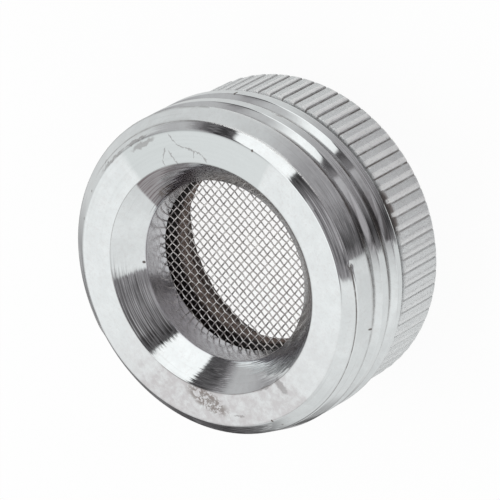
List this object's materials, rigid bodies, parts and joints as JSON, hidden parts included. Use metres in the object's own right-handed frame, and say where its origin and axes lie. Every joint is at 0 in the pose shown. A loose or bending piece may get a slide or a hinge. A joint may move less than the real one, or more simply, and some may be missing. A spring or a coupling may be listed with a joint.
{
  "type": "tap to hose adapter",
  "caption": "Short round adapter that screws onto a tap's spout by its knurled collar and takes a garden hose on its coarse outside thread, with a wire screen and rubber washer inside.",
  "frame": {"origin": "centre of the collar's rim, the flat that the part stands on", "axes": "+Z along the axis towards the hose end, -Y towards the viewer of the picture"},
  "size_m": [0.027, 0.027, 0.0126],
  "materials": {
    "chrome": "bright chrome plate over turned brass, with fine lathe marks",
    "steel": "drawn wire, plain weave",
    "rubber": "smooth moulded"
  },
  "bodies": {
    "root": {"body": "chrome", "screen": "steel", "washer": "rubber"}
  },
  "joints": []
}
